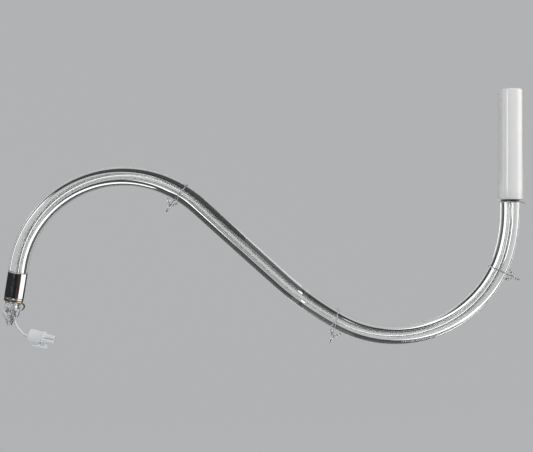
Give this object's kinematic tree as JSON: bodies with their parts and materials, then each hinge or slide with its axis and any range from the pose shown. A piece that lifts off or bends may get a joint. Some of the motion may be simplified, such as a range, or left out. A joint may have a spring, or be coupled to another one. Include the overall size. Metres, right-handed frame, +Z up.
{
  "type": "chandelier arm with candle lamp",
  "caption": "S-shaped clear glass tube arm: chrome ferrule and short lead at one end, upright white candle at the other, wire hoops with small crystal drops between.",
  "frame": {"origin": "middle of the seat washer's lower face, where the arm meets its hub", "axes": "+X from the hub towards the candle, in the plane of the arm; +Z up, along the candle; +Y away from the viewer of the picture"},
  "size_m": [0.5451, 0.026, 0.2704],
  "materials": {
    "clear_glass": "clear, fire polished",
    "crystal": "clear, cut",
    "clear_plastic": "clear, soft gloss",
    "chrome": "mirror",
    "brass": "bright",
    "bright_wire": "bright drawn",
    "silicone": "translucent, matt",
    "white_nylon": "moulded, satin",
    "white_lead": "smooth",
    "clear_insulation": "smooth",
    "tinned_contact": "tinned",
    "opal_white": "glossy",
    "dark_metal": "satin",
    "aluminium": "drawn",
    "white_board": "solder mask, satin"
  },
  "bodies": {
    "arm": {"glass_arm": "clear_glass", "feed_wire_upper": "clear_insulation", "feed_wire_lower": "clear_insulation", "hub_ferrule": "chrome", "ferrule_end_ring": "chrome", "seat_washer": "brass", "hub_nut": "brass", "glass_gasket": "silicone", "hub_collar": "clear_plastic", "earth_tab": "brass", "lead_boot": "clear_plastic", "supply_lead": "white_lead", "connector_housing": "white_nylon", "contact_upper": "tinned_contact", "contact_lower": "tinned_contact", "lamp_base_disc": "dark_metal", "lamp_nipple": "chrome", "lamp_nut": "brass", "lamp_post": "aluminium", "sleeve_grip": "silicone", "top_spacer": "silicone", "led_strip_front": "white_board", "led_strip_back": "white_board"},
    "candle": {"candle_sleeve": "opal_white"},
    "latch": {"connector_latch": "white_nylon"},
    "hoop_1": {"hoop_1_wire": "bright_wire", "hoop_1_bead_1": "crystal", "hoop_1_bead_2": "crystal", "hoop_1_bead_3": "crystal", "hoop_1_bead_4": "crystal", "hoop_1_bead_5": "crystal", "hoop_1_point": "crystal"},
    "hoop_2": {"hoop_2_wire": "bright_wire", "hoop_2_bead_1": "crystal", "hoop_2_bead_2": "crystal", "hoop_2_bead_3": "crystal", "hoop_2_bead_4": "crystal", "hoop_2_bead_5": "crystal", "hoop_2_point": "crystal"},
    "hoop_3": {"hoop_3_wire": "bright_wire", "hoop_3_bead_1": "crystal", "hoop_3_bead_2": "crystal", "hoop_3_bead_3": "crystal", "hoop_3_bead_4": "crystal", "hoop_3_bead_5": "crystal", "hoop_3_point": "crystal"},
    "end_hoop": {"cup_hoop": "bright_wire"}
  },
  "joints": [
    {"name": "candle_lift", "type": "slide", "parent": "arm", "child": "candle", "axis": [0, 0, 1], "range_m": [0, 0.115]},
    {"name": "latch_rock", "type": "hinge", "parent": "arm", "child": "latch", "pos_m": [0.02785, 0, -0.04261], "axis": [0, 1, 0], "range_deg": [0, 9], "stiffness_Nm_per_rad": 0.2},
    {"name": "hoop_1_turn", "type": "hinge", "parent": "arm", "child": "hoop_1", "pos_m": [0.17143, 0, 0.11438], "axis": [0.866, 0, -0.5001], "continuous": true},
    {"name": "hoop_2_turn", "type": "hinge", "parent": "arm", "child": "hoop_2", "pos_m": [0.34054, 0, -0.02124], "axis": [0.8831, 0, -0.4692], "continuous": true},
    {"name": "hoop_3_turn", "type": "hinge", "parent": "arm", "child": "hoop_3", "pos_m": [0.50366, 0, 0.03236], "axis": [0.4326, 0, 0.9016], "continuous": true},
    {"name": "end_hoop_turn", "type": "hinge", "parent": "arm", "child": "end_hoop", "pos_m": [0.51659, 0, 0.10376], "axis": [0, 0, 1], "continuous": true}
  ]
}
